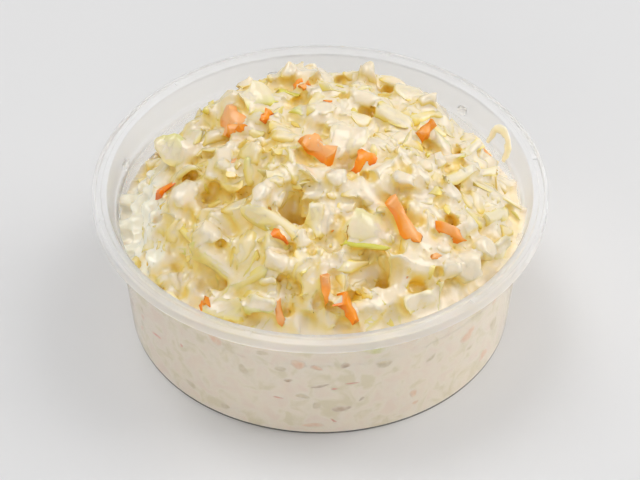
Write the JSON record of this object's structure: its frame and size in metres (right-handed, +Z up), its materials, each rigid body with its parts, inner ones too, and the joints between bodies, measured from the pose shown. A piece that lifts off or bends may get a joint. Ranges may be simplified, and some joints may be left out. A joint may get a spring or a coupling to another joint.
{
  "type": "coleslaw in a deli cup",
  "caption": "Creamy chopped coleslaw with carrot, heaped above the rim of a shallow round clear plastic deli cup with no lid.",
  "frame": {"origin": "centre of the cup's flat foot, where it rests", "axes": "+Z up along the cup's axis, -Y towards the front, where the salad lies highest against the wall"},
  "size_m": [0.117, 0.117, 0.0612],
  "materials": {
    "clear_plastic": "clear and glossy, thin, slightly hazy",
    "cabbage": "pale cream, wet with dressing",
    "dressing": "creamy dressing, smooth and wet",
    "carrot": "orange, wet, part coated with dressing"
  },
  "bodies": {
    "root": {"cup": "clear_plastic", "coleslaw": "cabbage"}
  },
  "joints": []
}
